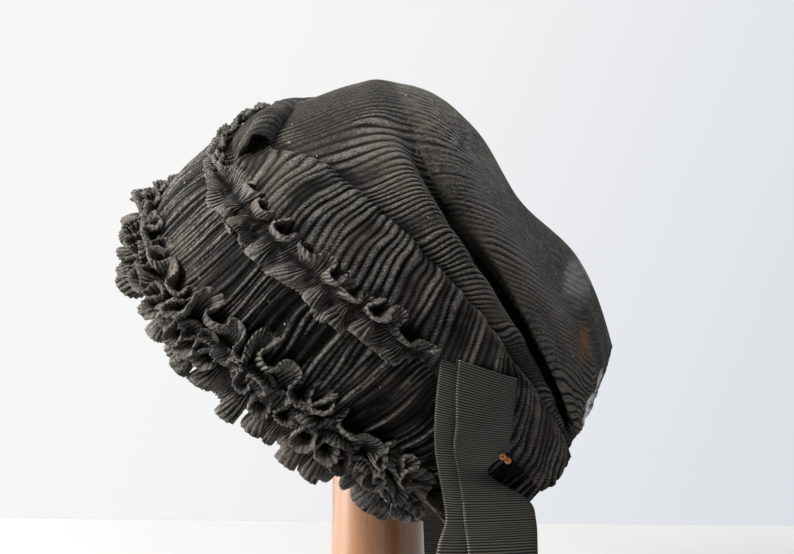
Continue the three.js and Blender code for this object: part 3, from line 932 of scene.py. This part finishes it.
# %% Ribbons
RIBBON_WALL = 0.7
GROSGRAIN_PITCH = 1.25
ROWS_PER_RIB = 5
GROSGRAIN_HEIGHT = 0.13
CORD_WIDTH = 0.035
STITCH_WIDTH = 0.02
CAMBER = 0.8
# Each station has the left edge and the right edge of the ribbon, from its top down.
NEAR_TIE = (
    ((92, 41, -12), (81, 68, -23)),
    ((90, 40, -27), (79, 67, -36)),
    ((88, 40, -42), (76, 66, -48)),
    ((83, 39, -55), (72, 63, -60)),
    ((78, 41, -68), (68, 55, -71)),
    ((77, 43, -82), (66, 74, -84)),
    ((76, 44, -93), (66, 78, -94)),
    ((76, 46, -109), (66, 79, -110)),
    ((76, 47, -138), (67, 80, -138)),
    ((76, 48, -165), (68, 81, -165)),
)
UNDER_STRAND = (
    ((91, 33, -12), (86, 50, -17)),
    ((88, 31, -27), (83, 50, -33)),
    ((84, 30, -42), (79, 50, -46)),
    ((79, 30, -56), (74, 49, -58)),
    ((76, 32, -70), (71, 48, -71)),
    ((74, 34, -82), (70, 52, -84)),
    ((74, 35, -93), (69, 54, -94)),
    ((74, 31, -109), (69, 55, -110)),
    ((74, 31, -138), (69, 56, -138)),
    ((74, 31, -163), (69, 57, -163)),
)
FAR_TIE = (
    ((-68, 26, 37), (-64, 62, 33)),
    ((-80, 26, 29), (-76, 62, 25)),
    ((-100, 24, 8), (-92, 61, 6)),
    ((-114, 20, -20), (-106, 57, -20)),
    ((-117, 18, -45), (-110, 55, -45)),
    ((-115, 18, -80), (-108, 55, -80)),
    ((-113, 18, -120), (-108, 55, -120)),
    ((-111, 19, -165), (-108, 56, -165)),
)


def ribbon_piece(name, stations, columns, outward):
    """outward is 1 where left x down points to the outer side of the ribbon, else -1."""
    edges = np.array(stations, float)
    knots = np.arange(len(edges), dtype=float)
    middle = edges.mean(axis=1)
    length = np.linalg.norm(np.diff(middle, axis=0), axis=1).sum()
    ribs = int(length / GROSGRAIN_PITCH)
    run = np.concatenate([[0], np.cumsum(np.linalg.norm(np.diff(middle, axis=0), axis=1))])
    at = np.interp(np.linspace(0, length, ribs * ROWS_PER_RIB + 1), run, knots)
    slopes = slopes_of(knots, edges)
    low, weights = hermite(knots, at)
    near, far, near_slope, far_slope = [weight[..., None] for weight in weights]
    lines = (
        near * edges[low]
        + far * edges[low + 1]
        + near_slope * slopes[low]
        + far_slope * slopes[low + 1]
    )
    share = np.linspace(0, 1, columns)
    flat = lines[:, None, 0] * (1 - share)[None, :, None] + lines[:, None, 1] * share[None, :, None]
    rib = np.cos(2 * np.pi * np.arange(len(at)) / ROWS_PER_RIB)[:, None]
    cord = np.exp(-((share / CORD_WIDTH) ** 2)) + np.exp(-(((1 - share) / CORD_WIDTH) ** 2))
    normals = grid_normals(flat) * outward
    camber = CAMBER * np.sin(np.pi * share)[None, :]
    relief = GROSGRAIN_HEIGHT * rib * (1 + 0.6 * cord[None, :]) + camber
    points = flat + relief[..., None] * normals
    crest = 0.5 + 0.5 * rib + 0 * share[None, :]
    edge = np.exp(-((share / STITCH_WIDTH) ** 2))[None, :] + 0 * rib
    if outward < 0:
        points, crest, edge = (grid[:, ::-1] for grid in (points, crest, edge))
    return sheet_piece(name, points, RIBBON_WALL, GROSGRAIN, crest=crest, edge=edge)


near_tie = ribbon_piece("near_tie", NEAR_TIE, columns=22, outward=1)
hand_over(near_tie, "grosgrain", "ribbon_left")
under_strand = ribbon_piece("near_tie_under", UNDER_STRAND, columns=14, outward=1)
hand_over(under_strand, "grosgrain", "ribbon_left_under")
far_tie = ribbon_piece("far_tie", FAR_TIE, columns=16, outward=-1)
hand_over(far_tie, "grosgrain", "ribbon_right")

# %% [markdown]
# ## Turned stand
#
# The stand is turned hardwood with a satin varnish: a thick post, a wide foot and a round head inside
# the crown. The solids have few sides, so each piece is turned again from the same outline, as on a
# lathe: one point is extruded along the outline and spun round the axis.

# %% Wood
WOOD_DEEP = (0.215, 0.078, 0.019, 1)
WOOD_PALE = (0.275, 0.108, 0.03, 1)
WOOD_FIBRE = (0.06, 0.022, 0.009, 1)


def wood_finish():
    start, close = new_finish("wood")
    where = start.node("ShaderNodeTexCoord", output="Object")
    stretched = start.node("ShaderNodeMapping", None, {"Vector": where, "Scale": (1, 1, 0.07)})
    fibres = noise_of(start, stretched, 420, 4.0, 0.6)
    figure = noise_of(start, stretched, 30, 3.0)
    tone = figure.between(0.25, 0.75).blend(WOOD_DEEP, WOOD_PALE)
    colour = (fibres.between(0.45, 0.75) * 0.45).blend(tone, WOOD_FIBRE)
    bump = start.node("ShaderNodeBump", None, {"Strength": 0.12, "Distance": 0.0003, "Height": fibres})
    return close(
        Base_Color=colour, Roughness=0.32 + 0.12 * fibres, Normal=bump,
        Coat_Weight=1.0, Coat_Roughness=0.34,
    )


WOOD = wood_finish()
print("finish:", WOOD.name)

# %% Stand
TURNED_STEPS = 96
BEVEL_STEPS = 8
DOME_STEPS = 20
SHARP_EDGE = math.radians(35)
AXIS_WELD = 1e-5
FOOT_RADIUS = 78
FOOT_HEIGHT = 20
FOOT_ROUND = 5
POST_LOW_RADIUS = 26
POST_WAIST_RADIUS = 23
POST_WAIST_HEIGHT = 106
POST_TOP_RADIUS = 21
HEAD_LOW_RADIUS = 32
HEAD_LOW_HEIGHT = 276
DOME_RADIUS = 38
DOME_LOW_HEIGHT = 282
DOME_RISE = 34
CHAMFER = 1


def quarter_round(radius, height, across, up, steps):
    """Pairs of radius and height along a quarter of an ellipse, from its widest height to its top."""
    angles = [math.pi / 2 * step / steps for step in range(steps + 1)]
    return [(radius + across * math.cos(angle), height + up * math.sin(angle)) for angle in angles]


def turned_piece(name, outline):
    """A turned piece from pairs of radius and height in millimetres, from the axis to the axis."""
    bpy.ops.object.select_all(action="DESELECT")
    bpy.ops.mesh.primitive_plane_add(size=MM)
    piece = bpy.context.object
    piece.name = name
    bpy.ops.object.mode_set(mode="EDIT")
    bpy.ops.mesh.merge(type="CENTER")
    bpy.ops.transform.translate(value=(outline[0][0] * MM, 0, outline[0][1] * MM))
    for (radius, height), (next_radius, next_height) in zip(outline, outline[1:]):
        step = ((next_radius - radius) * MM, 0, (next_height - height) * MM)
        bpy.ops.mesh.extrude_region_move(TRANSFORM_OT_translate={"value": step})
    bpy.ops.mesh.select_all(action="SELECT")
    bpy.ops.mesh.spin(steps=TURNED_STEPS, angle=2 * math.pi, center=(0, 0, 0), axis=(0, 0, 1))
    bpy.ops.mesh.select_all(action="SELECT")
    bpy.ops.mesh.remove_doubles(threshold=AXIS_WELD)
    bpy.ops.mesh.normals_make_consistent(inside=False)
    bpy.ops.object.mode_set(mode="OBJECT")
    bpy.ops.object.shade_smooth_by_angle(angle=SHARP_EDGE)
    piece.data.materials.append(WOOD)
    print(f"{name}: {len(piece.data.polygons)} faces, {len(outline)} points turned")
    return piece


foot_edge = quarter_round(
    FOOT_RADIUS - FOOT_ROUND, FOOT_HEIGHT - FOOT_ROUND, FOOT_ROUND, FOOT_ROUND, BEVEL_STEPS
)
foot = turned_piece(
    "turned_foot",
    [(0, 0), (FOOT_RADIUS - CHAMFER, 0), (FOOT_RADIUS, CHAMFER), *foot_edge, (0, FOOT_HEIGHT)],
)
hand_over(foot, "wood", "stand_base")
post_low, post_high = (round(corner[2] / MM, 2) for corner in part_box("stand_post"))
post = turned_piece(
    "turned_post",
    [
        (0, post_low),
        (POST_LOW_RADIUS, post_low),
        (POST_WAIST_RADIUS, POST_WAIST_HEIGHT),
        (POST_TOP_RADIUS, post_high - CHAMFER),
        (POST_TOP_RADIUS - CHAMFER, post_high),
        (0, post_high),
    ],
)
hand_over(post, "wood", "stand_post")
dome = quarter_round(0, DOME_LOW_HEIGHT, DOME_RADIUS, DOME_RISE, DOME_STEPS)
head = turned_piece(
    "turned_head", [(0, HEAD_LOW_HEIGHT), (HEAD_LOW_RADIUS, HEAD_LOW_HEIGHT), *dome]
)
hand_over(head, "wood", "stand_head")

# %% [markdown]
# ## Pin
#
# A dark pin holds the pinched tie. Its rusted head is two small wire rings side by side. Each ring
# starts as a torus, the shaft as a cone, and the three are joined. A bent wire curve would do as well,
# but a torus is a closed ring from the start.

# %% Rust and iron
RUST_PALE = (0.55, 0.2, 0.06, 1)
RUST_DARK = (0.2, 0.055, 0.014, 1)
IRON_BLACK = (0.012, 0.012, 0.012, 1)
IRON_BROWN = (0.03, 0.018, 0.012, 1)


def metal_finish(name, first, second, metallic):
    start, close = new_finish(name)
    where = start.node("ShaderNodeTexCoord", output="Object")
    pits = noise_of(start, where, 1600, 3.0, 0.7)
    colour = pits.between(0.35, 0.7).blend(first, second)
    bump = start.node("ShaderNodeBump", None, {"Strength": 0.8, "Distance": 0.0004, "Height": pits})
    return close(Base_Color=colour, Roughness=0.7 + 0.2 * pits, Normal=bump, Metallic=metallic)


RUST = metal_finish("rust", RUST_PALE, RUST_DARK, metallic=0.0)
IRON = metal_finish("dark_iron", IRON_BLACK, IRON_BROWN, metallic=0.4)
print("finishes:", RUST.name, IRON.name)

# %% Pin
PIN_HEAD = Vector((74.8, 63, -62)) * MM + BONNET_ORIGIN
PIN_POINT = Vector((72.8, 57, -68.5)) * MM + BONNET_ORIGIN
RING_STEP = Vector((0, 1.15, -0.95)) * MM
RING_FACING = Vector((1, 0.03, 0.16))
RING_RADIUS = 0.98 * MM
WIRE_RADIUS = 0.68 * MM
SHAFT_RADIUS = 0.65 * MM
POINT_RADIUS = 0.25 * MM

facing = RING_FACING.to_track_quat("Z", "Y").to_euler()
bpy.ops.object.select_all(action="DESELECT")
pin_parts = []
for step in (-1, 1):
    bpy.ops.mesh.primitive_torus_add(
        location=PIN_HEAD + step * RING_STEP, rotation=facing, major_segments=28, minor_segments=12,
        major_radius=RING_RADIUS, minor_radius=WIRE_RADIUS,
    )
    pin_parts.append(bpy.context.object)
    bpy.context.object.data.materials.append(RUST)
shaft_line = PIN_POINT - PIN_HEAD
bpy.ops.mesh.primitive_cone_add(
    vertices=16, radius1=SHAFT_RADIUS, radius2=POINT_RADIUS, depth=shaft_line.length,
    location=(PIN_POINT + PIN_HEAD) / 2, rotation=shaft_line.to_track_quat("Z", "Y").to_euler(),
)
bpy.context.object.data.materials.append(IRON)
for part in pin_parts:
    part.select_set(True)
bpy.ops.object.join()
pin = bpy.context.object
pin.name = "tie_pin"
bpy.ops.object.transform_apply(location=True, rotation=True, scale=True)
bpy.ops.object.shade_smooth_by_angle(angle=SHARP_EDGE)
hand_over(pin, "rust", "ribbon_pin")
print("tie_pin:", len(pin.data.polygons), "faces")

# %% [markdown]

# %% [markdown]
# ## Table, wall and light
#
# The bonnet stands on a white table in front of a pale wall. The wall is the world's own colour, near
# white on the left and a pale blue grey on the right. There are four soft lamps: a window from the upper
# left gives the crests their light, a low window and a side wall fill in from the face's side, and a far
# window behind lifts the far edges. One small lamp would be simpler, but its shadows would be too hard.

# %% Table
TABLE_BACK = -0.36
TABLE_FRONT = 1.1
TABLE_HALF = 1.0
TABLE_THICKNESS = 0.03
TABLE_GAP = 0.0002
TABLE_ROUNDING = 0.006
TABLE_GREY = (0.425, 0.422, 0.418, 1)
TABLE_PALE = (0.465, 0.462, 0.458, 1)
bpy.ops.object.select_all(action="DESELECT")
bpy.ops.mesh.primitive_cube_add(size=1)
table = bpy.context.object
table.name = "table"
table_size = Vector((TABLE_FRONT - TABLE_BACK, 2 * TABLE_HALF, TABLE_THICKNESS))
table_middle = Vector(((TABLE_FRONT + TABLE_BACK) / 2, 0, -TABLE_THICKNESS / 2 - TABLE_GAP))
table.data.transform(Matrix.Diagonal((*table_size, 1)))
table.data.transform(Matrix.Translation(table_middle))
rounding = table.modifiers.new("rounding", "BEVEL")
rounding.width = TABLE_ROUNDING
rounding.segments = 4
bpy.ops.object.modifier_apply(modifier=rounding.name)
start, close = new_finish("table_white")
where = start.node("ShaderNodeTexCoord", output="Object")
mottle = noise_of(start, where, 6, 2.0)
table_white = close(Base_Color=mottle.blend(TABLE_GREY, TABLE_PALE), Roughness=0.5 + 0.1 * mottle)
table.data.materials.append(table_white)
table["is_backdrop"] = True
print("table:", [round(side, 3) for side in table_size], "m")

# %% Wall and lights
WALL_WHITE = (0.93, 0.93, 0.93, 1)
WALL_BLUE = (0.7, 0.735, 0.78, 1)
WALL_SEEN = 1.0
WALL_LIGHT = 0.24
world = bpy.data.worlds.new("wall")
world.use_nodes = True
bpy.context.scene.world = world
world.node_tree.nodes.clear()
start = Wire(world.node_tree)
direction = start.node("ShaderNodeTexCoord", output="Generated")
across = start.node("ShaderNodeSeparateXYZ", None, {"Vector": direction}, output="Y")
upwards = start.node("ShaderNodeSeparateXYZ", None, {"Vector": direction}, output="Z")
wall_colour = (across - upwards * 0.4).between(-0.15, 0.35).blend(WALL_WHITE, WALL_BLUE)
seen = start.node("ShaderNodeLightPath", output="Is Camera Ray")
wall = start.node(
    "ShaderNodeBackground", None,
    {"Color": wall_colour, "Strength": seen * (WALL_SEEN - WALL_LIGHT) + WALL_LIGHT},
)
start.node("ShaderNodeOutputWorld", None, {"Surface": wall})


def soft_lamp(name, place, aim, size, power, colour):
    bpy.ops.object.light_add(type="AREA", location=place)
    lamp = bpy.context.object
    lamp.name = name
    lamp.data.shape = "DISK"
    lamp.data.size = size
    lamp.data.energy = power
    lamp.data.color = colour
    lamp.rotation_euler = (Vector(aim) - Vector(place)).to_track_quat("-Z", "Y").to_euler()
    print("lamp", name, power, "W")


soft_lamp("window", (0.55, -0.95, 1.15), (0, 0, 0.25), 0.6, 36, (1, 0.98, 0.95))
soft_lamp("low_window", (0.05, -1.2, 0.26), (0, 0, 0.2), 0.6, 20, (1, 0.98, 0.95))
soft_lamp("side_wall", (-0.7, -1, 0.35), (0, 0, 0.15), 1, 11, (1, 0.99, 0.97))
soft_lamp("far_window", (-0.8, 0.5, 1.1), (0, 0, 0.27), 0.8, 16, (0.95, 0.97, 1))
bpy.context.scene.view_settings.view_transform = "Standard"

# %% [markdown]
# ## Sizes
#
# The looks must not change the object's size, so the solids' box and the finished box are written side
# by side.

# %% Sizes
final_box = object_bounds()
for label, (low_corner, high_corner) in (("solids", cad_box), ("finished", final_box)):
    print(label, [round(c, 4) for c in low_corner], [round(c, 4) for c in high_corner])
